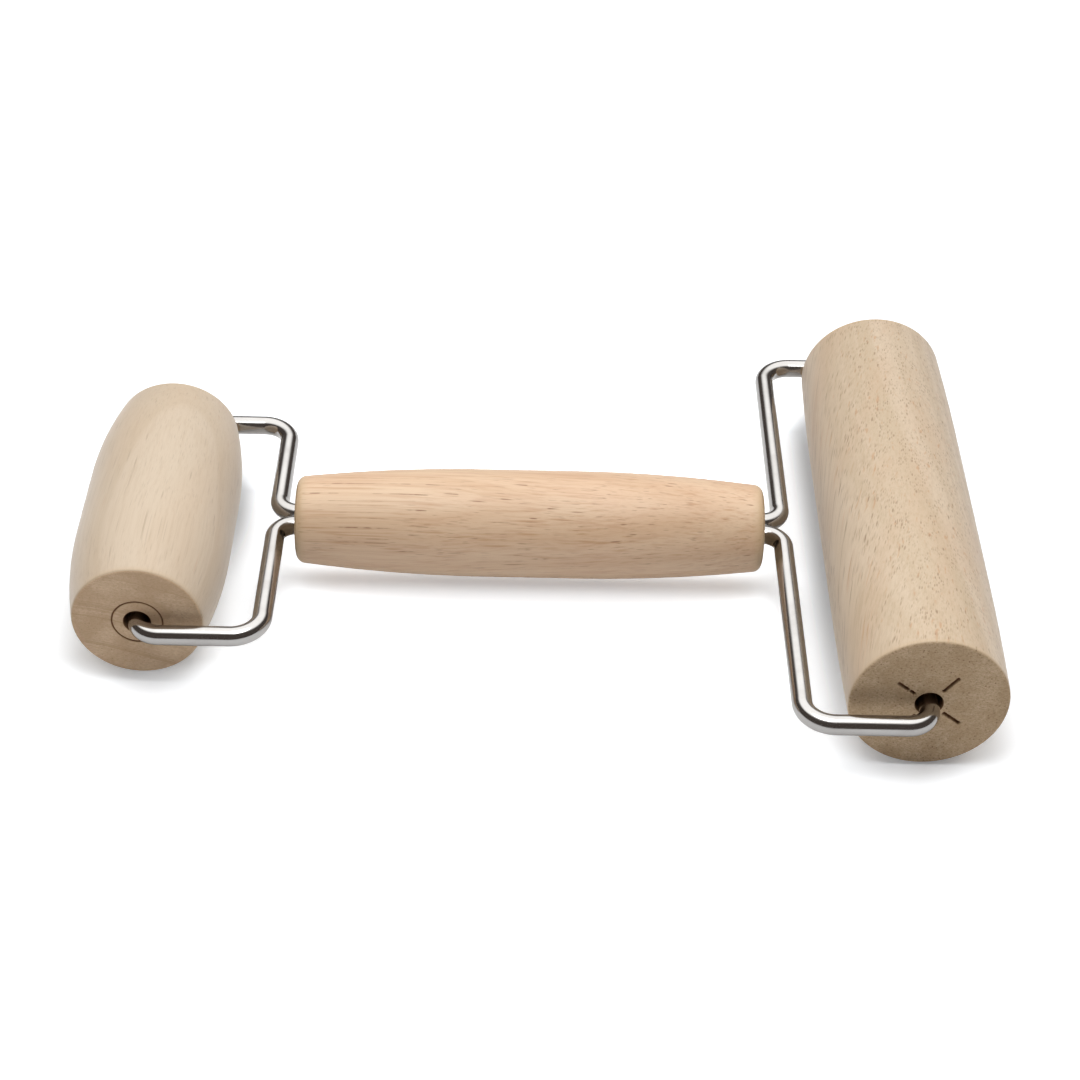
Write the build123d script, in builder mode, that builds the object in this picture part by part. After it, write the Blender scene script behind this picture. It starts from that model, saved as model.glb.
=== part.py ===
from build123d import *
import os
from math import tan, radians

# Double-ended dough roller.
# A turned wooden grip carries a fork of two bent steel wires at each end. The wide fork holds a
# long, nearly straight roller and the narrow fork a short barrel-shaped one. Every roller has a
# blind hole in each end, clearly larger than the wire, and turns on the wire stubs in them.
#
# Frame: X runs along the grip, with the large roller at +X. Y runs along both roller axes. Z is up.
# The origin is on the table, under the middle of the grip, where the rollers touch z = 0.
# All sizes are in millimetres.

# Grip
grip_length = 96.7
grip_radius = 11.25
grip_end_radius = 8.9
grip_straight_share = 0.20        # part of the half length that is a plain cylinder
grip_edge_radius = 1.6

# Large roller
large_length = 111.2
large_radius = 16.0
large_end_radius = 15.45
large_straight_share = 0.45
large_roller_y = 1.3              # it has slid towards the rear wire, within its end play

# Small roller
small_length = 64.5
small_radius = 15.7
small_end_radius = 12.95
small_straight_share = 0.30
small_fork_y = -2.3               # the narrow fork is bent off the grip's line
roller_edge_radius = 0.5

# Wire forks: all four wires lie in one level plane
wire_diameter = 4.0
wire_height = 15.4                # the wires rest low in the rollers' loose holes
large_arm_y = 60.1                # from the fork's middle to the arm beside the roller's end
small_arm_y = 35.7
large_roller_x = 76.7
small_roller_x = -76.9
elbow_radius = 1.05 * wire_diameter
corner_radius = 1.5 * wire_diameter
knuckle_radius = 1.15 * wire_diameter
shank_gap = 0.02                  # between the two shanks that share a socket
shank_length = 26.0
stub_reach = 18.0                 # how far a stub enters its roller
wire_end_chamfer = 0.4

# Drilled holes
roller_bore_radius = 2.7
roller_bore_depth = 24.0
socket_radius = wire_diameter + 0.05
socket_depth = 27.0
drill_half_angle = 59.0

# Marks that the lathe's centres left in the rollers' ends
ring_mark_radius = 5.0
ring_mark_width = 0.4
ring_mark_depth = 0.35
spur_inner_radius = 3.6
spur_outer_radius = 8.3
spur_width = 0.8
spur_depth = 0.9
spur_taper = 18.0
spur_angle = 52.0
spur_count = 4

# Derived places
grip_half = grip_length / 2
arm_x = grip_half + elbow_radius
shank_y = (wire_diameter + shank_gap) / 2
wire_plane = Plane.XY.offset(wire_height)
large_centre = Vector(large_roller_x, large_roller_y, large_radius)
small_centre = Vector(small_roller_x, small_fork_y, small_radius)


def turned_blank(centre, direction, length, radius, end_radius, straight_share, edge_radius):
    """Revolve a turned profile: a straight middle and two tangent arcs that fall to the ends."""
    half = length / 2
    straight = half * straight_share
    side = Vector(0, 0, 1).cross(direction)
    with BuildSketch(Plane(origin=centre, x_dir=direction, z_dir=-side)) as profile:
        with BuildLine():
            Line((-straight, radius), (straight, radius))
            TangentArc((straight, radius), (half, end_radius), tangent=(1, 0))
            TangentArc((-straight, radius), (-half, end_radius), tangent=(-1, 0))
            Polyline((half, end_radius), (half, 0), (-half, 0), (-half, end_radius))
        make_face()
    blank = revolve(profile.sketch, axis=Axis(centre, direction))
    rims = blank.faces().filter_by(Axis(centre, direction)).edges()
    fillet(rims, edge_radius)


def drill_blind_hole(mouth, radius, depth):
    """Drill from the mouth plane against its normal, with the drill's cone at the bottom."""
    tip = radius / tan(radians(drill_half_angle))
    with Locations(mouth):
        Hole(radius, depth)
    with Locations(mouth.offset(-depth - tip / 2)):
        Cone(bottom_radius=0, top_radius=radius, height=tip, mode=Mode.SUBTRACT)


def cut_ring_mark(mouth):
    """V-shaped ring pressed in by the lathe's cup centre."""
    middle = mouth.origin
    section = Plane(origin=middle, x_dir=mouth.x_dir, z_dir=-mouth.y_dir)
    with BuildSketch(section) as groove:
        with BuildLine():
            Polyline(
                (ring_mark_radius - ring_mark_width / 2, 0),
                (ring_mark_radius, -ring_mark_depth),
                (ring_mark_radius + ring_mark_width / 2, 0),
                close=True,
            )
        make_face()
    revolve(groove.sketch, axis=Axis(middle, mouth.z_dir), mode=Mode.SUBTRACT)


def cut_spur_marks(mouth):
    """Wedge-shaped slots pressed in by the blades of the lathe's drive centre."""
    middle_radius = (spur_inner_radius + spur_outer_radius) / 2
    with BuildSketch(mouth) as slots:
        with PolarLocations(middle_radius, spur_count, start_angle=spur_angle):
            Rectangle(spur_outer_radius - spur_inner_radius, spur_width)
    extrude(slots.sketch, amount=-spur_depth, taper=spur_taper, mode=Mode.SUBTRACT)


def roller_mouths(centre, length):
    """Planes on the front (-Y) and rear (+Y) end faces, facing outwards, with X level."""
    front = Plane(origin=centre - Vector(0, length / 2, 0), x_dir=(1, 0, 0), z_dir=(0, -1, 0))
    rear = Plane(origin=centre + Vector(0, length / 2, 0), x_dir=(1, 0, 0), z_dir=(0, 1, 0))
    return front, rear


os.makedirs("parts", exist_ok=True)

# Grip: turned, with a socket in each end for the two shanks of a fork
with BuildPart() as handle:
    turned_blank(
        Vector(0, 0, wire_height), Vector(1, 0, 0),
        grip_length, grip_radius, grip_end_radius, grip_straight_share, grip_edge_radius,
    )
    for end in (-1, 1):
        socket_mouth = Plane(origin=(end * grip_half, 0, wire_height), z_dir=(end, 0, 0))
        drill_blind_hole(socket_mouth, socket_radius, socket_depth)
handle.part.label = "handle"
export_step(handle.part, "parts/handle.step")

# Large roller: drive marks in front, ring mark behind
large_front, large_rear = roller_mouths(large_centre, large_length)
with BuildPart() as large_roller:
    turned_blank(
        large_centre, Vector(0, 1, 0),
        large_length, large_radius, large_end_radius, large_straight_share, roller_edge_radius,
    )
    for mouth in (large_front, large_rear):
        drill_blind_hole(mouth, roller_bore_radius, roller_bore_depth)
    cut_spur_marks(large_front)
    cut_ring_mark(large_rear)
large_roller.part.label = "large_roller"
export_step(large_roller.part, "parts/large_roller.step")

# Small roller: ring mark in front, drive marks behind
small_front, small_rear = roller_mouths(small_centre, small_length)
with BuildPart() as small_roller:
    turned_blank(
        small_centre, Vector(0, 1, 0),
        small_length, small_radius, small_end_radius, small_straight_share, roller_edge_radius,
    )
    for mouth in (small_front, small_rear):
        drill_blind_hole(mouth, roller_bore_radius, roller_bore_depth)
    cut_ring_mark(small_front)
    cut_spur_marks(small_rear)
small_roller.part.label = "small_roller"
export_step(small_roller.part, "parts/small_roller.step")

# Wires: shank in the grip, elbow, arm, corner, arm, knuckle, stub in the roller
forks = (
    ("large_fork", 1, large_roller_x, 0.0, large_arm_y, large_roller_y, large_length),
    ("small_fork", -1, small_roller_x, small_fork_y, small_arm_y, small_fork_y, small_length),
)
for fork_name, end, roller_x, fork_y, arm_y, roller_y, roller_length in forks:
    for side_name, side in (("front", -1), ("rear", 1)):
        outer_y = fork_y + side * arm_y
        stub_end_y = roller_y + side * (roller_length / 2 - stub_reach)
        route = [
            (end * (grip_half - shank_length), side * shank_y),
            (end * arm_x, side * shank_y),
            (end * arm_x, outer_y),
            (roller_x, outer_y),
            (roller_x, stub_end_y),
        ]
        with BuildPart() as wire:
            with BuildLine(wire_plane) as centreline:
                FilletPolyline(*route, radius=[elbow_radius, corner_radius, knuckle_radius])
            with BuildSketch(Plane(origin=centreline.line @ 0, z_dir=centreline.line % 0)):
                Circle(wire_diameter / 2)
            sweep()
            cut_ends = wire.faces().filter_by(GeomType.PLANE)
            chamfer(cut_ends.edges(), wire_end_chamfer)
        wire_name = f"{fork_name}_{side_name}_wire"
        wire.part.label = wire_name
        export_step(wire.part, f"parts/{wire_name}.step")
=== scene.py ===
import math

import bpy
import numpy as np
from mathutils import Matrix, Vector


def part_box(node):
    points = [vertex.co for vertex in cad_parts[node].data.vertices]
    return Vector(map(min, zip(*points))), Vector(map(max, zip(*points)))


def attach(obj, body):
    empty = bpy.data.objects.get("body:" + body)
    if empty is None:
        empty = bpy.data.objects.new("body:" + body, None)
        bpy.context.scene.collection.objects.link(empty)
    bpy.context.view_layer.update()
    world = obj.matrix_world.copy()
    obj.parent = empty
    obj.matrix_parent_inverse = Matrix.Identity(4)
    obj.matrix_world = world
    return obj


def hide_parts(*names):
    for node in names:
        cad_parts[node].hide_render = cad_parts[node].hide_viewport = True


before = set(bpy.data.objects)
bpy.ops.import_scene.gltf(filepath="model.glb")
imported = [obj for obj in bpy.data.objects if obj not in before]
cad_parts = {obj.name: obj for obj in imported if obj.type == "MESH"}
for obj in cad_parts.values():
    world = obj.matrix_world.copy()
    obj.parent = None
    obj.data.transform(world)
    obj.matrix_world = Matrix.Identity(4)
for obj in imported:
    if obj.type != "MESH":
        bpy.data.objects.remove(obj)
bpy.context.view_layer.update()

# Looks of a double-ended dough roller: three turned pieces of pale wood and four bent, plated wires.
# Lengths are in metres, except that the patterns of the wood and of the wire work in millimetres.
MM = 0.001

# Turned shapes: what the frame's boxes don't hold. The straight share is the middle that has no taper,
# over the whole length.
GRIP = dict(end_radius=8.9 * MM, straight_share=0.20, edge=1.6 * MM, hole=4.05 * MM, hole_depth=27 * MM)
LARGE = dict(end_radius=15.45 * MM, straight_share=0.45, edge=0.5 * MM, hole=2.7 * MM, hole_depth=24 * MM)
SMALL = dict(end_radius=12.95 * MM, straight_share=0.30, edge=0.5 * MM, hole=2.7 * MM, hole_depth=24 * MM)
MOUTH_EDGE = 0.12 * MM              # worn edge of a drilled hole's mouth
DRILL_HALF_ANGLE = math.radians(59)
FACETS = dict(depth=0.010 * MM, slow=0.83, quick=2.1, shift=1.0, from_edge=6 * MM)   # waves in radians per mm

# Marks of the lathe on the rollers' ends: a cup centre's ring, and the four slots of a drive centre (spur)
RING_MARK = dict(radius=5.0 * MM, half_width=0.22 * MM, depth=0.35 * MM)
SPUR_MARK = dict(
    inner=3.6 * MM, outer=8.3 * MM, half_width=0.44 * MM, floor=0.20 * MM, depth=0.9 * MM,
    end_slope=0.35 * MM)
SPUR_ANGLES = [math.radians(52 + 90 * k) for k in range(4)]
SPUR_RAG = ((0.07, 5.1, 2.0), (0.05, 11.3, 1.0))    # share of the width, radians per mm, shift between slots
SPUR_BRIDGE = dict(slot=1, at=5.1 * MM, half_width=0.55 * MM, share=0.85)   # fibres still bridge one slot

# Density of the turned meshes
PLAIN_COLUMNS, BETWEEN_COLUMNS = 192, 34
SPUR_COLUMNS = np.array([0, 0.13, 0.26, 0.31, 0.36, 0.41, 0.46, 0.51, 0.57, 0.65, 0.80, 1.0, 1.25]) * MM
SIDE_STEP, COARSE_STEP = 1.5 * MM, 1.2 * MM
EDGE_ROWS, FINE_ROWS, NARROW_ROWS, MOUTH_ROWS, HOLE_ROWS = 9, 60, 12, 5, 9
FINE_FACE = 9.0 * MM                # inside this radius the end face's rows are close together
FINE_MARGIN = 0.5 * MM              # the fine rows start at least this far from the hole's mouth
SIDE_TURN = 0.8                     # up to this angle (radians) the eased edge still shows side grain
SHARP_ANGLE = math.radians(42)

# Wires
ELBOW_SHARE, CORNER_SHARE, KNUCKLE_SHARE = 1.05, 1.5, 1.15   # bend radii over the wire's diameter
WIRE_CHAMFER = 0.4 * MM
STUB_REACH = 18 * MM                # how far a wire's stub goes into its roller
BEND_SQUEEZE = 0.018                # the bending die squeezes the wire a little
RUN_STEP, BEND_STEPS, WIRE_SEGMENTS = 1.5 * MM, 30, 56

# The floor's painted light (a glow that lifts its shadows) and painted shade, which only the camera sees
PAPER, SEEN_PAPER, GLARE = (0.80, 0.81, 0.825, 1), (0.985, 1.02, 1.06, 1), (0.96, 1.0, 1.04, 1)
FILL, FILL_UNDER_GRIP, FILL_BESIDE_GRIP, FILL_BETWEEN_ROLLERS = 0.085, 0.02, 0.52, 0.24
UNDER_GRIP_REACH = 6 * MM           # the fill under the grip becomes the fill beside it over this distance
GRIP_END_FADE = (-4 * MM, 8 * MM)   # before and past the grip's ends
BETWEEN_FADE = (64 * MM, 80 * MM)
# Painted light: a glow on the floor ahead of each roller's front end
FRONT_FILL = dict(
    small_roller=dict(half_width=30 * MM, at_end=0.32, ahead=0.36),
    large_roller=dict(half_width=34 * MM, at_end=0.12, ahead=0.34))
FRONT_REACH, FRONT_START = 6 * MM, -8 * MM   # ahead of a roller's end: the fill is full, and it starts
# Painted shade along each roller's inner side. Across it, the shade is full at start and gone at end,
# both from the roller's outline. Along it, none is left at ebb and it is full at full.
INNER_SHADE = dict(
    small_roller=dict(start=-3.7 * MM, end=3.2 * MM, depth=0.52, ebb=-8 * MM, full=24 * MM),
    large_roller=dict(start=-2.5 * MM, end=3.6 * MM, depth=0.50, ebb=-90 * MM, full=10 * MM))
SHADE_AXIS_FADE = 8 * MM            # it sets in over this distance on each side of the roller's axis
SHADE_BEHIND, SHADE_TAPER = 20 * MM, 0.5     # how far it goes on behind a roller, and how fast it narrows
FLOOR_REACH = 4.0

# One large round light tent overhead, leaning back, a closer round lamp above the grip, and a dim studio
TENT_LEAN, TENT_HALF_ANGLE, TENT_EDGE = math.radians(19), math.radians(42), math.radians(8)
TENT_COLOUR = (2.10, 2.07, 2.03, 1)
STUDIO_COLOUR = (0.100, 0.082, 0.072, 1)
LAMP_PLACE, LAMP_RADIUS, LAMP_STRENGTH = Vector((0, -70, 360)) * MM, 110 * MM, 3.4

CAMERA_PLACE = Vector((-0.9949, -390.762, 317.068)) * MM
PITCH, YAW, ROLL = math.radians(38.053), math.radians(0.474), math.radians(1.454)
LENS_MM, SENSOR_MM = 78.909, 36.0
CLIP_NEAR, CLIP_FAR = 0.01, 20.0


# ---------------------------------------------------------------- node helpers

class Shader:
    """Short calls that add nodes to one node tree. Any argument may be a value or another node's output."""

    def __init__(self, tree):
        self.tree = tree
        tree.nodes.clear()

    def node(self, kind, inputs=(), **settings):
        made = self.tree.nodes.new(kind)
        for key, value in settings.items():
            setattr(made, key, value)
        for key, value in dict(inputs).items():
            self.feed(made.inputs[key], value)
        return made

    def feed(self, socket, value):
        if isinstance(value, bpy.types.NodeSocket):
            self.tree.links.new(value, socket)
        elif value is not None:
            socket.default_value = value

    def math(self, operation, a, b=None):
        made = self.node("ShaderNodeMath", operation=operation)
        for socket, value in zip(made.inputs, (a, b)):
            self.feed(socket, value)
        return made.outputs[0]

    def total(self, *parts):
        """Sum of values, each times its own weight."""
        result = None
        for value, weight in parts:
            part = value if weight == 1 else self.math("MULTIPLY", value, weight)
            result = part if result is None else self.math("ADD", result, part)
        return result

    def product(self, first, *others):
        for other in others:
            first = self.math("MULTIPLY", first, other)
        return first

    def vector(self, operation, a, b=None, output="Vector"):
        made = self.node("ShaderNodeVectorMath", operation=operation)
        self.feed(made.inputs[0], a)
        self.feed(made.inputs[1], b)
        return made.outputs[output]

    def noise(self, at, detail=2.0, roughness=0.5, scale=1.0):
        made = self.node("ShaderNodeTexNoise", {
            "Vector": at, "Scale": scale, "Detail": detail, "Roughness": roughness})
        return made.outputs["Fac"]

    def cells(self, across, down):
        """Distance to the nearest of the points scattered over a plane, and that point's own random value."""
        made = self.node("ShaderNodeTexVoronoi", {
            "Vector": self.join(across, down, 0.0), "Scale": 1.0, "Randomness": 1.0}, voronoi_dimensions="2D")
        own = self.node("ShaderNodeSeparateColor", {"Color": made.outputs["Color"]}).outputs["Red"]
        return made.outputs["Distance"], own

    def fade(self, value, low, high, to_low=0.0, to_high=1.0):
        """Smooth step from to_low at low to to_high at high."""
        made = self.node("ShaderNodeMapRange", {
            "Value": value, "From Min": low, "From Max": high, "To Min": to_low, "To Max": to_high},
            interpolation_type="SMOOTHSTEP")
        return made.outputs["Result"]

    def mix(self, share, a, b):
        made = self.node("ShaderNodeMix", data_type="RGBA")
        self.feed(made.inputs["Factor"], share)
        self.feed(made.inputs["A"], a)
        self.feed(made.inputs["B"], b)
        return made.outputs["Result"]

    def wash(self, tone, *layers):
        """Lays colours over a tone, each as strong as its pattern has risen between two levels."""
        for pattern, none, full, strength, tint in layers:
            tone = self.mix(self.fade(pattern, none, full, 0.0, strength), tone, tint)
        return tone

    def seen_by_camera(self, unseen, seen):
        """One shader for the light that bounces about, and another for what the camera looks at."""
        camera_ray = self.node("ShaderNodeLightPath").outputs["Is Camera Ray"]
        return self.node("ShaderNodeMixShader", {0: camera_ray, 1: unseen.outputs[0], 2: seen.outputs[0]})

    def split(self, vector):
        return self.node("ShaderNodeSeparateXYZ", {"Vector": vector}).outputs

    def join(self, x, y, z):
        return self.node("ShaderNodeCombineXYZ", {"X": x, "Y": y, "Z": z}).outputs[0]

    def object_place(self):
        return self.node("ShaderNodeTexCoord").outputs["Object"]

    def surface(self, shader, output="ShaderNodeOutputMaterial"):
        self.node(output, {"Surface": shader.outputs[0]})


def new_material(name):
    material = bpy.data.materials.new(name)
    material.use_nodes = True
    return material, Shader(material.node_tree)


def colour(red, green, blue):
    """Linear colour from the familiar 0 to 255 values."""
    def linear(v):
        v = v / 255
        return v / 12.92 if v <= 0.04045 else ((v + 0.055) / 1.055) ** 2.4
    return (linear(red), linear(green), linear(blue), 1.0)


# ---------------------------------------------------------------- wood

# Burnt brown of the lathe marks and the holes, which also serves as painted shade in these recesses
BURN_AND_SHADE_TONE = colour(118, 84, 54)
# Tones, strengths of each layer, vessels (mm) and gloss that the three turned pieces share
PALE = dict(
    light=colour(204, 187, 163), dark=colour(193, 174, 147), warm=colour(197, 171, 143),
    streak=colour(172, 147, 117), vessel=colour(114, 86, 60), rust_tone=colour(180, 134, 95),
    rim_tone=colour(194, 168, 133), rim=0.35, rim_reach=1.4,
    end_light=colour(198, 176, 145), end_dark=colour(174, 150, 118), end_speck=colour(152, 127, 95),
    streaks=0.28, hairs=0.34, patches=0.4, rust=0.45, rust_from=0.69, faint=0.46, strong=0.58,
    vessels_per_mm=1.05, vessel_radius=0.18, faint_radius=0.55, opens_per_mm=0.16, waver=2.5,
    dots=0.8, specks=0.55, ray_slope=0.1, year_lines=0.2, roughness=0.55, ior=1.42, fuzz=0.20)
# seed, lean of the fibres off the axis, and the tree's heart (mm from the piece's axis) differ for each piece
GRIP_LOOK = dict(
    PALE, seed=3.1, tilt=(-0.07, 0.053), heart=(30.0, -60.0),
    light=colour(217, 190, 160), dark=colour(208, 177, 145), warm=colour(213, 176, 145),
    streak=colour(184, 140, 108), vessel=colour(128, 78, 52), rim=0.85, rim_reach=3.0,
    streaks=0.40, hairs=0.28, rust=0.6, rust_from=0.58, strong=0.72, vessel_radius=0.17, opens_per_mm=0.40,
    roughness=0.50, ior=1.47, fuzz=0.28)
LARGE_LOOK = dict(
    PALE, seed=7.7, tilt=(0.14, 0.33), heart=(-55.0, 30.0),
    light=colour(204, 186, 163), dark=colour(192, 173, 147), warm=colour(196, 170, 143),
    vessel=colour(126, 100, 74), vessel_radius=0.20, faint=0.56, faint_radius=0.75,
    rust=0.55, rust_from=0.62, dots=1.15, specks=0.75,
    end_light=colour(210, 186, 155), end_dark=colour(190, 165, 133), end_speck=colour(163, 137, 106))
SMALL_LOOK = dict(
    PALE, seed=12.4, tilt=(0.05, 0.10), heart=(20.0, 70.0),
    light=colour(201, 185, 164), dark=colour(193, 175, 151),
    streaks=0.18, hairs=0.26, patches=0.2, rust=0.2, faint=0.24, strong=0.24, fuzz=0.34, dots=0.3,
    year_lines=0.55, end_light=colour(221, 196, 166), end_dark=colour(200, 172, 141),
    end_speck=colour(180, 150, 119))

# Noises: features per mm along and across the grain, offset of the seed, detail and roughness
GRAIN_NOISE = dict(
    patches=(0.02, 0.10, 0, 2.0, 0.5),
    fibres=(0.03, 1.5, 5, 3.0, 0.6),
    hairs=(0.10, 5.5, 9, 2.0, 0.6),
    rust=(0.045, 1.3, 13, 1.0, 0.5),
    nap=(3.0, 3.0, 0, 3.0, 0.7),
    mottle=(0.5, 0.16, 2, 3.0, 0.55))
DRIFT_SLOW, DRIFT_SIDE = 0.022, 0.03      # wavering of the fibres, per mm along and across
YEARS_PER_MM, YEARS_ALONG = 0.30, 0.004
PLUGS_ACROSS = 0.45                       # noise that fills vessels here and there, per mm across
FAINT_CROWDING, FAINT_OFFSET, FAINT_END_RADIUS = 2.3, 21, 0.7


def local_space(s, centre, axis):
    """Millimetres from the piece's centre: X along its axis, Y and Z across."""
    local = s.vector("SUBTRACT", s.object_place(), tuple(centre))
    x, y, z = s.split(s.vector("MULTIPLY", local, (1 / MM, 1 / MM, 1 / MM)))
    return (x, y, z) if axis == "X" else (y, x, z)


def grain_space(s, x, y, z, look):
    """The same place followed along the fibres: Y and Z stay constant on one fibre.

    Fibres lean off the axis by the look's tilt and waver slowly. That lean decides how a vessel meets
    the turned surface: a long line where they run side by side, a short dot where it comes out steeply.
    """
    slow = s.vector("MULTIPLY", s.join(x, y, z), (DRIFT_SLOW, DRIFT_SIDE, DRIFT_SIDE))
    drift = s.node("ShaderNodeTexNoise", {
        "Vector": s.vector("ADD", slow, (look["seed"], 0.0, 0.0)), "Scale": 1.0, "Detail": 1.0})
    sway = s.split(s.vector("SUBTRACT", drift.outputs["Color"], (0.5, 0.5, 0.5)))
    across = [
        s.total((place, 1), (x, -lean), (swing, look["waver"]))
        for place, lean, swing in zip((y, z), look["tilt"], sway)]
    return x, *across


def stretched(s, place, along, across, seed):
    """Noise space for one kind of streak, so many features per millimetre along and across the grain."""
    scaled = s.vector("MULTIPLY", s.join(*place), (along, across, across))
    return s.vector("ADD", scaled, (seed, seed * 0.7, seed * 0.3))


def grain_noise(s, kind, place, seed):
    along, across, offset, detail, roughness = GRAIN_NOISE[kind]
    return s.noise(stretched(s, place, along, across, seed + offset), detail, roughness)


def vessels(s, place, per_mm, radius, seed, opens_per_mm):
    """Cut vessels: how dark each one looks (few are dark, most are faint), and how open it is."""
    _, y, z = place
    distance, own = s.cells(s.total((y, per_mm), (seed, 1)), s.math("MULTIPLY", z, per_mm))
    reach = radius * per_mm
    core = s.fade(distance, reach * 0.4, reach * 1.2, 1.0, 0.0)
    filled = s.noise(stretched(s, place, opens_per_mm, PLUGS_ACROSS, seed), 1.0)
    filled = s.fade(filled, 0.38, 0.60, 0.12, 1.0)
    return s.product(core, s.fade(own, 0.45, 1.0, 0.22, 1.0), filled), core


def growth_figure(s, place, look):
    """Distance from the tree's heart, which lies outside the piece, gives the soft bands of its years."""
    x, y, z = place
    away = s.vector("ADD", s.join(0.0, y, z), (0.0, *look["heart"]))
    length = s.vector("LENGTH", away, output="Value")
    band = s.join(s.math("MULTIPLY", x, YEARS_ALONG), look["seed"], s.math("MULTIPLY", length, YEARS_PER_MM))
    return s.noise(band, 3.0, 0.6)


def both_vessels(s, place, look, faint_radius):
    """The large vessels, then the finer ones between them."""
    per_mm, radius = look["vessels_per_mm"], look["vessel_radius"]
    seed, opens = look["seed"], look["opens_per_mm"]
    large = vessels(s, place, per_mm, radius, seed, opens)
    faint = vessels(s, place, per_mm * FAINT_CROWDING, radius * faint_radius, seed + FAINT_OFFSET, opens)
    return *large, *faint


def side_material(name, centre, axis, half, look):
    """Long grain: soft bands, fibres and hairs, rusty streaks, and vessels as lines or dots."""
    material, s = new_material(name)
    local = local_space(s, centre, axis)
    grain = grain_space(s, *local, look)
    rings = growth_figure(s, grain, look)
    patches, fibres, hairs, rust = (
        grain_noise(s, kind, grain, look["seed"]) for kind in ("patches", "fibres", "hairs", "rust"))
    nap = grain_noise(s, "nap", local, look["seed"])
    dark, open_pore, faint, _ = both_vessels(s, grain, look, look["faint_radius"])

    tone = s.wash(
        look["light"],
        (rings, 0.35, 0.68, 1.0, look["dark"]),
        (patches, 0.38, 0.66, look["patches"], look["warm"]),
        (fibres, 0.45, 0.72, look["streaks"], look["streak"]),
        (hairs, 0.48, 0.80, look["hairs"], look["streak"]),
        (rust, look["rust_from"], 0.80, look["rust"], look["rust_tone"]))
    tone = s.mix(s.math("MULTIPLY", faint, look["faint"]), tone, look["vessel"])
    tone = s.mix(s.math("MULTIPLY", dark, look["strong"]), tone, look["vessel"])
    from_end = s.math("SUBTRACT", half / MM, s.math("ABSOLUTE", local[0]))
    tone = s.mix(s.fade(from_end, 0.3, look["rim_reach"], look["rim"], 0.0), tone, look["rim_tone"])

    height = s.total((hairs, 0.22), (fibres, 0.25), (nap, 0.10), (open_pore, -0.30), (dark, -0.9))
    bump = s.node("ShaderNodeBump", {"Height": height, "Strength": 0.45, "Distance": 0.07 * MM})
    rough = s.fade(nap, 0.25, 0.75, look["roughness"] - 0.07, look["roughness"] + 0.07)
    s.surface(s.node("ShaderNodeBsdfPrincipled", {
        "Base Color": tone, "Roughness": s.total((rough, 1), (dark, 0.15)), "Normal": bump.outputs[0],
        "IOR": look["ior"], "Sheen Weight": look["fuzz"], "Sheen Roughness": 0.5}))
    return material


def end_material(name, centre, axis, look):
    """The same wood cut across: darker, matt, with the vessels as dots, rays and thin growth lines."""
    material, s = new_material(name)
    local = local_space(s, centre, axis)
    grain = grain_space(s, *local, look)
    seed = look["seed"]
    rings = growth_figure(s, grain, look)
    mottle = grain_noise(s, "mottle", local, seed)
    u, across, up = local
    up = s.total((up, 1), (across, look["ray_slope"]))
    fine = s.join(s.math("ADD", u, seed), s.math("MULTIPLY", across, 1.5), s.math("MULTIPLY", up, 3.6))
    speckle = s.noise(fine, 4.0, 0.75)
    rays = s.noise(s.join(seed, s.math("MULTIPLY", across, 0.10), s.math("MULTIPLY", up, 0.9)), 3.0, 0.6)
    dark, pore, _, small = both_vessels(s, grain, look, FAINT_END_RADIUS)
    mark = s.node("ShaderNodeAttribute", attribute_name="burn_and_shade").outputs["Fac"]

    tone = s.wash(
        look["end_light"],
        (mottle, 0.35, 0.65, 1.0, look["end_dark"]),
        (rings, 0.60, 0.72, 0.45, look["end_dark"]),
        (rays, 0.45, 0.72, 0.6, look["end_dark"]),
        (speckle, 0.35, 0.70, look["specks"], look["end_speck"]))
    from_line = s.math("ABSOLUTE", s.math("SUBTRACT", rings, 0.5))
    tone = s.mix(s.fade(from_line, 0.0, 0.03, look["year_lines"], 0.0), tone, look["end_speck"])
    rows = s.fade(rings, 0.42, 0.58, 0.25, 1.0)
    for dots, strength in ((small, 0.14), (pore, 0.14), (s.math("MULTIPLY", dark, rows), 0.8)):
        tone = s.mix(s.math("MULTIPLY", dots, strength * look["dots"]), tone, look["vessel"])
    # Lathe marks and the hole are darkened: burnt wood and painted shade in these recesses
    tone = s.wash(tone, (mark, 0.05, 0.75, 0.95, BURN_AND_SHADE_TONE))

    height = s.total((speckle, 0.9), (pore, -0.5))
    bump = s.node("ShaderNodeBump", {"Height": height, "Strength": 0.5, "Distance": 0.12 * MM})
    s.surface(s.node("ShaderNodeBsdfPrincipled", {
        "Base Color": tone, "Roughness": s.fade(speckle, 0.2, 0.8, 0.74, 0.9), "Normal": bump.outputs[0],
        "IOR": 1.4}))
    return material


# ---------------------------------------------------------------- mesh helpers

def smooth(t):
    t = np.clip(t, 0, 1)
    return t * t * (3 - 2 * t)


def linked(name, data):
    """A new object in the scene for a mesh, a light or a camera."""
    made = bpy.data.objects.new(name, data)
    bpy.context.scene.collection.objects.link(made)
    return made


def tube_faces(grid, other_way):
    """Quads between a tube's rows of points, and fans to two more points that close its ends."""
    after = np.roll(grid, -1, axis=1)
    corners = [grid[:-1], after[:-1], after[1:], grid[1:]]
    ahead, behind = after, grid
    if other_way:
        corners = [corners[0]] + corners[:0:-1]
        ahead, behind = grid, after
    quads = np.stack(corners, -1).reshape(-1, 4).tolist()
    first, last = grid.size, grid.size + 1
    fans = [(first, int(a), int(b)) for a, b in zip(ahead[0], behind[0])]
    fans += [(last, int(b), int(a)) for a, b in zip(ahead[-1], behind[-1])]
    return quads, fans


def mesh_piece(name, points, faces, materials):
    mesh = bpy.data.meshes.new(name)
    mesh.from_pydata(points.tolist(), [], faces)
    for material in materials:
        mesh.materials.append(material)
    mesh.polygons.foreach_set("use_smooth", [True] * len(faces))
    return linked(name, mesh)


# ---------------------------------------------------------------- turned pieces

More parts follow.
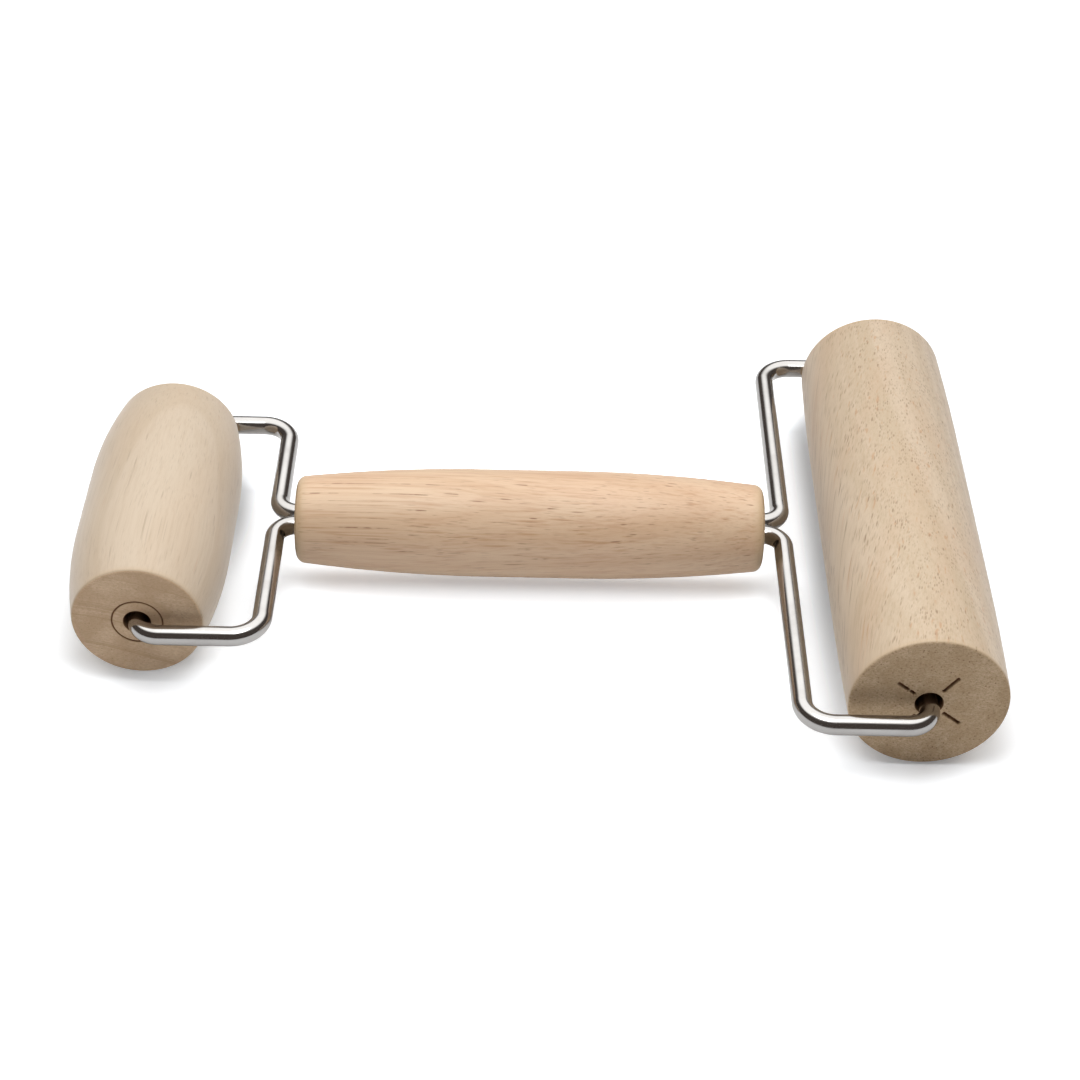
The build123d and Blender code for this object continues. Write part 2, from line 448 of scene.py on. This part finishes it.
def side_radius(u, half, radius, shape):
    """Radius of the turned side at distance u from the middle."""
    straight = half * shape["straight_share"]
    reach, drop = half - straight, radius - shape["end_radius"]
    arc = (reach ** 2 + drop ** 2) / (2 * drop)
    past = max(abs(u) - straight, 0.0)
    result = radius - arc + math.sqrt(arc ** 2 - past ** 2)
    from_end = half - abs(u)
    edge = shape["edge"]
    if from_end < edge:
        result += math.sqrt(max(edge ** 2 - (edge - from_end) ** 2, 0.0)) - edge
    return result


SIDE, EDGE, FACE, HOLE = range(4)


def half_profile(half, radius, shape):
    """(u, r, zone) from the middle of the side, round the edge, over the end and down the hole to its tip."""
    edge, hole = shape["edge"], shape["hole"]
    points = [(u, side_radius(u, half, radius, shape), SIDE) for u in np.arange(0, half - edge, SIDE_STEP)]
    for turn in np.linspace(0, math.pi / 2, EDGE_ROWS):
        u = half - edge + edge * math.sin(turn)
        points.append((u, side_radius(u, half, radius, shape), SIDE if turn < SIDE_TURN else EDGE))
    mouth = hole + MOUTH_EDGE
    rim = points[-1][1]
    coarse = np.arange(rim - COARSE_STEP, max(FINE_FACE, mouth), -COARSE_STEP)
    fine = np.linspace(max(FINE_FACE, mouth + FINE_MARGIN), mouth, FINE_ROWS)
    if rim < FINE_FACE:             # a small end with a wide socket is only a narrow ring of end grain
        coarse, fine = [], np.linspace(rim, mouth, NARROW_ROWS)[1:]
    points += [(half, r, FACE) for r in [*coarse, *fine]]
    for turn in np.linspace(0, math.pi / 2, MOUTH_ROWS)[1:]:
        u = half - MOUTH_EDGE * (1 - math.cos(turn))
        points.append((u, hole + MOUTH_EDGE * (1 - math.sin(turn)), HOLE))
    floor = half - shape["hole_depth"]
    points += [(u, hole, HOLE) for u in np.linspace(half - MOUTH_EDGE, floor, HOLE_ROWS)[1:]]
    points.append((floor - hole / math.tan(DRILL_HALF_ANGLE), 0.0, HOLE))
    return points


def column_angles(r, spurs):
    """Angles of the mesh's columns round a circle of radius r. Beside a spur mark they run parallel to it."""
    if not spurs:
        return np.linspace(0, 2 * math.pi, PLAIN_COLUMNS, endpoint=False)
    beside = np.concatenate([-SPUR_COLUMNS[:0:-1], SPUR_COLUMNS])
    angles = []
    for spur in spurs:
        near = spur + np.arcsin(beside / r)
        between = np.linspace(near[-1], near[0] + 2 * math.pi / len(spurs), BETWEEN_COLUMNS + 2)[1:-1]
        angles += [*near, *between]
    return np.array(angles)


def ring_mark_depth(r):
    away = np.abs(r - RING_MARK["radius"]) / RING_MARK["half_width"]
    return RING_MARK["depth"] * smooth(1.15 - away)


def spur_mark_depth(r, angle):
    """Depth that the drive centre's blades left at a point of the end face."""
    m, bridge, deepest = SPUR_MARK, SPUR_BRIDGE, np.zeros_like(r)
    for k, spur in enumerate(SPUR_ANGLES):
        along = r * np.cos(angle - spur)
        across = np.abs(r * np.sin(angle - spur))
        rag = 1 + sum(share * np.sin(along / MM * pace + k * shift) for share, pace, shift in SPUR_RAG)
        half_width = m["half_width"] * rag
        wall = smooth((half_width - across) / (half_width - m["floor"]))
        ends = smooth((along - m["inner"]) / m["end_slope"]) * smooth((m["outer"] - along) / m["end_slope"])
        if k == bridge["slot"]:
            on_bridge = smooth(1 - np.abs(along - bridge["at"]) / bridge["half_width"])
            ends = ends * (1 - bridge["share"] * on_bridge)
        deepest = np.maximum(deepest, m["depth"] * wall * ends)
    return deepest


def cut_marks(u, r, turn, on_end, marks):
    """Cuts each end's lathe mark into its face. Gives the new u, and how dark each point of it is: burnt wood
    and painted shade, both as deep as the mark.
    """
    burn_and_shade = np.zeros_like(u)
    for mark, sign in zip(marks, (1, -1)):
        if mark is None:
            continue
        depth = ring_mark_depth(r) if mark == "ring" else spur_mark_depth(r, sign * turn)
        deepest = RING_MARK["depth"] if mark == "ring" else SPUR_MARK["depth"]
        u = u - sign * on_end[sign] * depth
        burn_and_shade = np.maximum(burn_and_shade, on_end[sign] * depth / deepest)
    return u, burn_and_shade


# The drilled hole is painted dark: drill burn and painted shade inside it
HOLE_BURN_AND_SHADE = 0.8


def turned_piece(name, node, axis, shape, marks, materials):
    """Lathe-turned mesh for a CAD node.

    Its u runs along the axis, towards +X or towards the front (-Y). The first mark is on the end that u
    runs towards, and the second on the other end.
    """
    low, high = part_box(node)
    centre = (low + high) / 2
    size = high - low
    if axis == "X":
        half, radius = size.x / 2, min(size.y, size.z) / 2
        along, right = Vector((1, 0, 0)), Vector((0, 1, 0))
    else:
        half, radius = size.y / 2, min(size.x, size.z) / 2
        along, right = Vector((0, -1, 0)), Vector((1, 0, 0))
    profile = half_profile(half, radius, shape)
    rows = [(-u, r, zone, -1) for u, r, zone in reversed(profile[1:-1])] + [(*p, 1) for p in profile[:-1]]
    tip = profile[-1][0]

    # Seen from behind, the blades' angles run the other way
    in_front = marks[0] == "spur"
    spurs = [a if in_front else -a for a in sorted(SPUR_ANGLES, reverse=not in_front)]
    spurs = spurs if "spur" in marks else []
    spur_end = 1 if in_front else -1
    hole = shape["hole"]
    turn = np.array([
        column_angles(max(r, hole) if zone > EDGE and end == spur_end else shape["end_radius"], spurs)
        for u, r, zone, end in rows])
    u = np.array([row[0] for row in rows])[:, None] + 0 * turn
    r = np.array([row[1] for row in rows])[:, None] + 0 * turn
    zone = np.array([row[2] for row in rows])
    end = np.array([row[3] for row in rows])

    on_end = {sign: ((zone == FACE) & (end == sign))[:, None] for sign in (1, -1)}
    u, burn_and_shade = cut_marks(u, r, turn, on_end, marks)
    # Inside the hole the wood is painted darker: drill burn and painted shade
    burn_and_shade = np.maximum(burn_and_shade, HOLE_BURN_AND_SHADE * (zone[:, None] == HOLE))
    # Faint facets that the lathe tool and the sanding left along the side
    away_from_edge = smooth((half - np.abs(u)) / FACETS["from_edge"]) * (zone == SIDE)[:, None]
    waves = np.sin(u / MM * FACETS["slow"]) + np.sin(u / MM * FACETS["quick"] + FACETS["shift"])
    r = r + FACETS["depth"] * away_from_edge * (waves - 2.0)

    axes = np.array([along, right, Vector((0, 0, 1))])
    flat = np.stack([u, r * np.cos(turn), r * np.sin(turn)], -1).reshape(-1, 3)
    tips = np.array([[-tip, 0, 0], [tip, 0, 0]])
    points = np.vstack([flat, tips]) @ axes + np.array(centre)
    quads, fans = tube_faces(np.arange(turn.size).reshape(turn.shape), other_way=True)
    piece = mesh_piece(name, points, quads + fans, materials)
    mesh = piece.data
    # End faces and holes are cut across the grain
    cut_across = (zone[:-1] != SIDE) | (zone[1:] != SIDE)
    slots = np.concatenate([np.repeat(cut_across, turn.shape[1]), np.ones(len(fans), bool)]).astype(np.int32)
    mesh.polygons.foreach_set("material_index", slots)
    layer = mesh.attributes.new("burn_and_shade", "FLOAT", "POINT")
    layer.data.foreach_set("value", np.concatenate([burn_and_shade.reshape(-1), [HOLE_BURN_AND_SHADE] * 2]))
    mesh.set_sharp_from_angle(angle=SHARP_ANGLE)
    mesh.update()
    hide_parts(node)
    return piece


# ---------------------------------------------------------------- wires

def bent_path(corners, radii):
    """Points and directions along runs joined by tangent arcs, and how much each point is in a bend."""
    places, headings, bends = [], [], []

    def add(place, heading, bend):
        places.append(place)
        headings.append(heading)
        bends.append(bend)

    def run(start, end):
        count = max(2, int((end - start).length / RUN_STEP))
        for k in range(count):
            add(start.lerp(end, k / count), (end - start).normalized(), 0.0)

    at = corners[0]
    for k, radius in enumerate(radii):
        corner = corners[k + 1]
        before = (corner - corners[k]).normalized()
        after = (corners[k + 2] - corner).normalized()
        turn = before.angle(after)
        cut = radius * math.tan(turn / 2)
        start, end = corner - before * cut, corner + after * cut
        run(at, start)
        inward = (after - before * before.dot(after)).normalized()
        middle = start + inward * radius
        for j in range(BEND_STEPS):
            t = turn * j / BEND_STEPS
            place = middle - inward * radius * math.cos(t) + before * radius * math.sin(t)
            add(place, before * math.cos(t) + inward * math.sin(t), math.sin(math.pi * j / BEND_STEPS))
        at = end
    run(at, corners[-1])
    add(corners[-1], (corners[-1] - at).normalized(), 0.0)
    return places, headings, bends


def wire_corners(node, end, side, radius):
    """The corners of a wire's middle line, from its shank in the grip to its stub in the roller."""
    low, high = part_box(node)
    level = (high.z + low.z) / 2
    shank_x = low.x if end > 0 else high.x
    stub_x = high.x - radius if end > 0 else low.x + radius
    arm_x = end * (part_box("handle")[1].x + ELBOW_SHARE * 2 * radius)
    outer_y = low.y + radius if side < 0 else high.y - radius
    shank_y = high.y - radius if side < 0 else low.y + radius
    roller_low, roller_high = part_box("large_roller" if end > 0 else "small_roller")
    stub_y = roller_low.y + STUB_REACH if side < 0 else roller_high.y - STUB_REACH
    return [Vector(p) for p in (
        (shank_x, shank_y, level), (arm_x, shank_y, level), (arm_x, outer_y, level),
        (stub_x, outer_y, level), (stub_x, stub_y, level))]


def wire_piece(node, end, side, material):
    """Tube for one bent wire. end is the fork's (1 for the large one), and side is -1 for its front wire."""
    low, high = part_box(node)
    radius = (high.z - low.z) / 2
    radii = [share * 2 * radius for share in (ELBOW_SHARE, CORNER_SHARE, KNUCKLE_SHARE)]
    places, headings, bends = bent_path(wire_corners(node, end, side, radius), radii)

    # Chamfered ends: one more ring just inside each end
    inset_first = places[0] + headings[0] * WIRE_CHAMFER
    inset_last = places[-1] - headings[-1] * WIRE_CHAMFER
    places = [places[0], inset_first] + places[1:-1] + [inset_last, places[-1]]
    headings = [headings[0]] + headings + [headings[-1]]
    bends = [0.0] + bends + [0.0]
    sizes = [radius - WIRE_CHAMFER] + [radius] * (len(places) - 2) + [radius - WIRE_CHAMFER]

    turn = np.linspace(0, 2 * math.pi, WIRE_SEGMENTS, endpoint=False)
    points, lengths, travelled = [], [], 0.0
    for k, (place, heading, bend, size) in enumerate(zip(places, headings, bends, sizes)):
        if k:
            travelled += (place - places[k - 1]).length
        lengths.append(travelled)
        across = Vector((-heading.y, heading.x, 0))
        flatten = 1 - BEND_SQUEEZE * bend
        ring = np.outer(np.cos(turn) * size * flatten, across) + np.outer(np.sin(turn) * size, (0, 0, 1))
        points.append(ring + np.array(place))
    rows = len(places)
    points.append(np.array([places[0], places[-1]]))
    grid = np.arange(rows * WIRE_SEGMENTS).reshape(rows, WIRE_SEGMENTS)
    quads, fans = tube_faces(grid, other_way=False)
    piece = mesh_piece("bent_" + node, np.vstack(points), quads + fans, [material])

    # U runs along the wire and V round it, in millimetres, for the drawn lines of its finish
    layer = piece.data.uv_layers.new(name="WireRun")
    girth = 2 * math.pi * radius / MM
    uvs = []
    for k in range(rows - 1):
        u0, u1 = lengths[k] / MM, lengths[k + 1] / MM
        for j in range(WIRE_SEGMENTS):
            v0, v1 = j / WIRE_SEGMENTS * girth, (j + 1) / WIRE_SEGMENTS * girth
            uvs += [u0, v0, u0, v1, u1, v1, u1, v0]
    uvs += [0.0, 0.0] * (3 * len(fans))
    layer.data.foreach_set("uv", uvs)
    piece.data.update()
    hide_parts(node)
    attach(piece, "frame")
    return piece


def wire_material():
    """Bright nickel-like plating over drawn wire: faint lines along it, smudges and tiny pits."""
    material, s = new_material("plated_wire")
    run = s.node("ShaderNodeUVMap", uv_map="WireRun").outputs["UV"]
    place = s.vector("MULTIPLY", s.object_place(), (1 / MM, 1 / MM, 1 / MM))
    lines = s.noise(s.vector("MULTIPLY", run, (0.03, 6.0, 1.0)), 3.0, 0.6)
    smudge = s.noise(place, 3.0, 0.6, scale=0.11)
    pits = s.noise(place, 2.0, 0.6, scale=2.6)
    rough = s.math("ADD", s.fade(smudge, 0.35, 0.75, 0.13, 0.21), s.fade(lines, 0.5, 0.8, 0.0, 0.05))
    tone = s.mix(s.fade(smudge, 0.3, 0.8), (0.455, 0.45, 0.443, 1), (0.40, 0.39, 0.38, 1))
    height = s.total((lines, 0.6), (pits, 0.25))
    bump = s.node("ShaderNodeBump", {"Height": height, "Strength": 0.10, "Distance": 0.03 * MM})
    s.surface(s.node("ShaderNodeBsdfPrincipled", {
        "Base Color": tone, "Metallic": 1.0, "Roughness": rough, "Normal": bump.outputs[0]}))
    return material


# ---------------------------------------------------------------- floor, light and camera

def roller_floor(s, x, y, node):
    """Painted fill light ahead of one roller, and painted shade along its inner side, at a place on the
    floor.
    """
    low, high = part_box(node)
    axis_x, radius = (low.x + high.x) / 2, (high.z - low.z) / 2
    from_axis = s.math("SUBTRACT", x, axis_x)
    in_front = s.math("SUBTRACT", low.y, y)
    patch = FRONT_FILL[node]
    fill = s.product(
        s.fade(s.math("ABSOLUTE", from_axis), patch["half_width"] / 2, patch["half_width"], 1.0, 0.0),
        s.fade(in_front, 0.0, FRONT_REACH, patch["at_end"], patch["ahead"]),
        s.fade(in_front, FRONT_START, 0.0))

    edge = INNER_SHADE[node]
    inward = s.math("MULTIPLY", from_axis, -1 if axis_x > 0 else 1)
    behind = s.math("MAXIMUM", s.math("SUBTRACT", y, high.y), 0.0)
    tapered = s.total((inward, 1), (behind, SHADE_TAPER))
    shade = s.product(
        s.fade(tapered, radius + edge["end"], radius + edge["start"], 0.0, edge["depth"]),
        s.fade(inward, -SHADE_AXIS_FADE, SHADE_AXIS_FADE),
        s.fade(y, edge["ebb"], edge["full"]),
        s.fade(behind, 0.0, SHADE_BEHIND, 1.0, 0.0),
        s.fade(in_front, 0.0, FRONT_REACH, 1.0, 0.0))
    return fill, shade


def floor_material():
    """White studio paper. The camera sees it overexposed, with painted light and painted shade by the tool.
    """
    material, s = new_material("pale_floor")
    x, y, _ = s.split(s.object_place())
    grip_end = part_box("handle")[1].x
    beside = s.fade(
        s.math("ABSOLUTE", x), grip_end + GRIP_END_FADE[0], grip_end + GRIP_END_FADE[1], 1.0, 0.0)
    ahead = s.fade(s.math("ABSOLUTE", y), 0.0, UNDER_GRIP_REACH, FILL_UNDER_GRIP, FILL_BESIDE_GRIP)
    between = s.fade(s.math("ABSOLUTE", x), *BETWEEN_FADE, FILL_BETWEEN_ROLLERS, FILL)
    small_fill, small_shade = roller_floor(s, x, y, "small_roller")
    large_fill, large_shade = roller_floor(s, x, y, "large_roller")
    fill = s.total((s.product(beside, ahead), 1), (between, 1), (small_fill, 1), (large_fill, 1))
    shade = s.math("ADD", small_shade, large_shade)

    paper = s.node("ShaderNodeBsdfDiffuse", {"Color": PAPER})
    bright = s.node("ShaderNodeBsdfDiffuse", {"Color": SEEN_PAPER})
    # The glow is painted light on the paper, and the mix towards black is painted shade
    glare = s.node("ShaderNodeEmission", {"Color": GLARE, "Strength": fill})
    lit = s.node("ShaderNodeAddShader", {0: bright.outputs[0], 1: glare.outputs[0]})
    painted_shade_dark = s.node("ShaderNodeBsdfDiffuse", {"Color": (0, 0, 0, 1)})
    shaded = s.node("ShaderNodeMixShader", {0: shade, 1: lit.outputs[0], 2: painted_shade_dark.outputs[0]})
    s.surface(s.seen_by_camera(paper, shaded))
    return material


def build_floor():
    mesh = bpy.data.meshes.new("floor")
    around = ((-1, -1), (1, -1), (1, 1), (-1, 1))
    mesh.from_pydata([(x * FLOOR_REACH, y * FLOOR_REACH, 0) for x, y in around], [], [(0, 1, 2, 3)])
    mesh.materials.append(floor_material())
    return linked("floor", mesh)


def round_glow(s, lean, half_angle, edge):
    """Soft-edged disc on the sky, its centre leaning from overhead towards the back: 1 inside, 0 outside."""
    direction = s.node("ShaderNodeTexCoord").outputs["Generated"]
    centre = (0.0, math.sin(lean), math.cos(lean))
    towards = s.vector("DOT_PRODUCT", direction, centre, output="Value")
    return s.fade(towards, math.cos(half_angle + edge), math.cos(half_angle - edge))


def build_world():
    """The tent and the dim studio light the object, and the camera sees plain white."""
    world = bpy.data.worlds.new("light_tent")
    bpy.context.scene.world = world
    world.use_nodes = True
    s = Shader(world.node_tree)
    sky = s.mix(round_glow(s, TENT_LEAN, TENT_HALF_ANGLE, TENT_EDGE), STUDIO_COLOUR, TENT_COLOUR)
    lit = s.node("ShaderNodeBackground", {"Color": sky, "Strength": 1.0})
    pale = s.node("ShaderNodeBackground", {"Color": (1.0, 1.0, 1.0, 1), "Strength": 1.0})
    s.surface(s.seen_by_camera(lit, pale), output="ShaderNodeOutputWorld")


def build_lamp():
    data = bpy.data.lights.new("lamp", "AREA")
    data.shape = "DISK"
    data.size = 2 * LAMP_RADIUS
    data.energy = 4 * LAMP_STRENGTH * math.pi * LAMP_RADIUS ** 2
    lamp = linked("lamp", data)
    lamp.location = LAMP_PLACE
    lamp.visible_camera = False


def build_camera():
    """Camera at its place, looking along its yaw and pitch, and rolled about that line."""
    ahead = Vector((math.sin(YAW) * math.cos(PITCH), math.cos(YAW) * math.cos(PITCH), -math.sin(PITCH)))
    level_right = Vector((math.cos(YAW), -math.sin(YAW), 0))
    level_up = level_right.cross(ahead)
    right = level_right * math.cos(ROLL) + level_up * math.sin(ROLL)
    above = level_up * math.cos(ROLL) - level_right * math.sin(ROLL)
    data = bpy.data.cameras.new("camera")
    data.lens = LENS_MM
    data.sensor_width = SENSOR_MM
    data.clip_start, data.clip_end = CLIP_NEAR, CLIP_FAR
    camera = linked("camera", data)
    turned = Matrix((right, above, -ahead)).transposed().to_4x4()
    camera.matrix_world = Matrix.Translation(CAMERA_PLACE) @ turned
    return camera


# ---------------------------------------------------------------- the scene

TURNED = dict(
    turned_grip=dict(
        node="handle", body="frame", slot="grip_wood",
        axis="X", shape=GRIP, marks=(None, None), look=GRIP_LOOK),
    turned_large_roller=dict(
        node="large_roller", body="large_roller", slot="roller_wood",
        axis="Y", shape=LARGE, marks=("spur", "ring"), look=LARGE_LOOK),
    turned_small_roller=dict(
        node="small_roller", body="small_roller", slot="roller_wood",
        axis="Y", shape=SMALL, marks=("ring", "spur"), look=SMALL_LOOK))

for name, turned in TURNED.items():
    low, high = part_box(turned["node"])
    centre, size = (low + high) / 2, high - low
    half = size.x / 2 if turned["axis"] == "X" else size.y / 2
    materials = (
        side_material(name + "_side", centre, turned["axis"], half, turned["look"]),
        end_material(name + "_end", centre, turned["axis"], turned["look"]),
    )
    piece = turned_piece(name, turned["node"], turned["axis"], turned["shape"], turned["marks"], materials)
    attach(piece, turned["body"])

plating = wire_material()
for fork, end in (("large_fork", 1), ("small_fork", -1)):
    for side_name, side in (("front", -1), ("rear", 1)):
        wire_piece(f"{fork}_{side_name}_wire", end, side, plating)

build_floor()
build_world()
build_lamp()
bpy.context.scene.camera = build_camera()
bpy.context.scene.view_settings.view_transform = "Standard"
